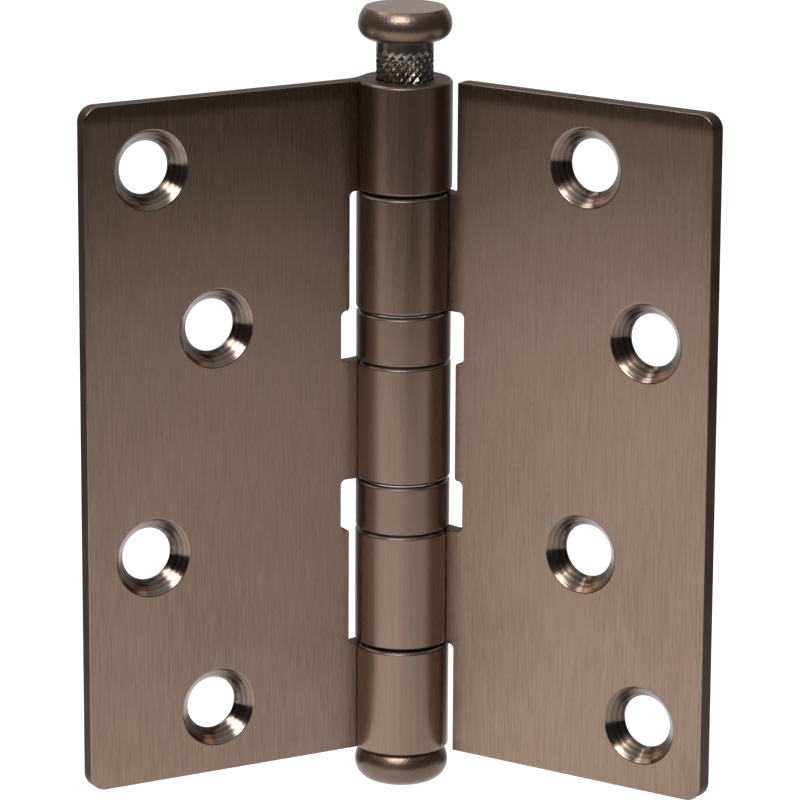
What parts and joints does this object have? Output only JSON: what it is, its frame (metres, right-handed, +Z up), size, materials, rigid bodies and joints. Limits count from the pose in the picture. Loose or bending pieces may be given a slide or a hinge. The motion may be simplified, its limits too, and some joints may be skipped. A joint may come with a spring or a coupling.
{
  "type": "ball bearing butt hinge",
  "caption": "Square butt door hinge with countersunk leaves, a loose knurled pin and ball bearings between the knuckles.",
  "frame": {"origin": "middle of the frame leaf's screw holes, on the back face that meets the door frame", "axes": "+Y out of the frame leaf's back, +Z up along the pin towards its head, +X from the frame leaf towards the pin"},
  "size_m": [0.0686, 0.0448, 0.1028],
  "materials": {
    "leaf_finish": "dark bronze-nickel plate, brushed along the pin",
    "turned_finish": "dark bronze-nickel plate, satin",
    "bearing_steel": "ground and polished",
    "cage_brass": "stamped, bright"
  },
  "bodies": {
    "frame": {"frame_leaf": "leaf_finish", "bottom_plug": "turned_finish", "upper_bearing_cup": "turned_finish", "lower_bearing_race": "bearing_steel"},
    "door": {"door_leaf": "leaf_finish", "upper_bearing_race": "bearing_steel", "lower_bearing_cup": "turned_finish"},
    "pin": {"hinge_pin": "turned_finish"},
    "upper_balls": {"upper_bearing_cage": "cage_brass", "upper_bearing_ball_1": "bearing_steel", "upper_bearing_ball_2": "bearing_steel", "upper_bearing_ball_3": "bearing_steel", "upper_bearing_ball_4": "bearing_steel", "upper_bearing_ball_5": "bearing_steel", "upper_bearing_ball_6": "bearing_steel", "upper_bearing_ball_7": "bearing_steel", "upper_bearing_ball_8": "bearing_steel"},
    "lower_balls": {"lower_bearing_cage": "cage_brass", "lower_bearing_ball_1": "bearing_steel", "lower_bearing_ball_2": "bearing_steel", "lower_bearing_ball_3": "bearing_steel", "lower_bearing_ball_4": "bearing_steel", "lower_bearing_ball_5": "bearing_steel", "lower_bearing_ball_6": "bearing_steel", "lower_bearing_ball_7": "bearing_steel", "lower_bearing_ball_8": "bearing_steel"}
  },
  "joints": [
    {"name": "leaf_swing", "type": "hinge", "parent": "frame", "child": "door", "pos_m": [0.03085, -0.0036, 0], "axis": [0, 0, 1], "range_deg": [-118, 152]},
    {"name": "pin_slide", "type": "slide", "parent": "frame", "child": "pin", "axis": [0, 0, 1], "range_m": [-0.0052, 0.08]},
    {"name": "upper_ball_roll", "type": "hinge", "parent": "frame", "child": "upper_balls", "pos_m": [0.03085, -0.0036, 0], "axis": [0, 0, 1], "range_deg": [-59, 76]},
    {"name": "lower_ball_roll", "type": "hinge", "parent": "frame", "child": "lower_balls", "pos_m": [0.03085, -0.0036, 0], "axis": [0, 0, 1], "range_deg": [-59, 76]}
  ],
  "couplings": [
    {"joint": "upper_ball_roll", "follows": "leaf_swing", "ratio": 0.5},
    {"joint": "lower_ball_roll", "follows": "leaf_swing", "ratio": 0.5}
  ]
}
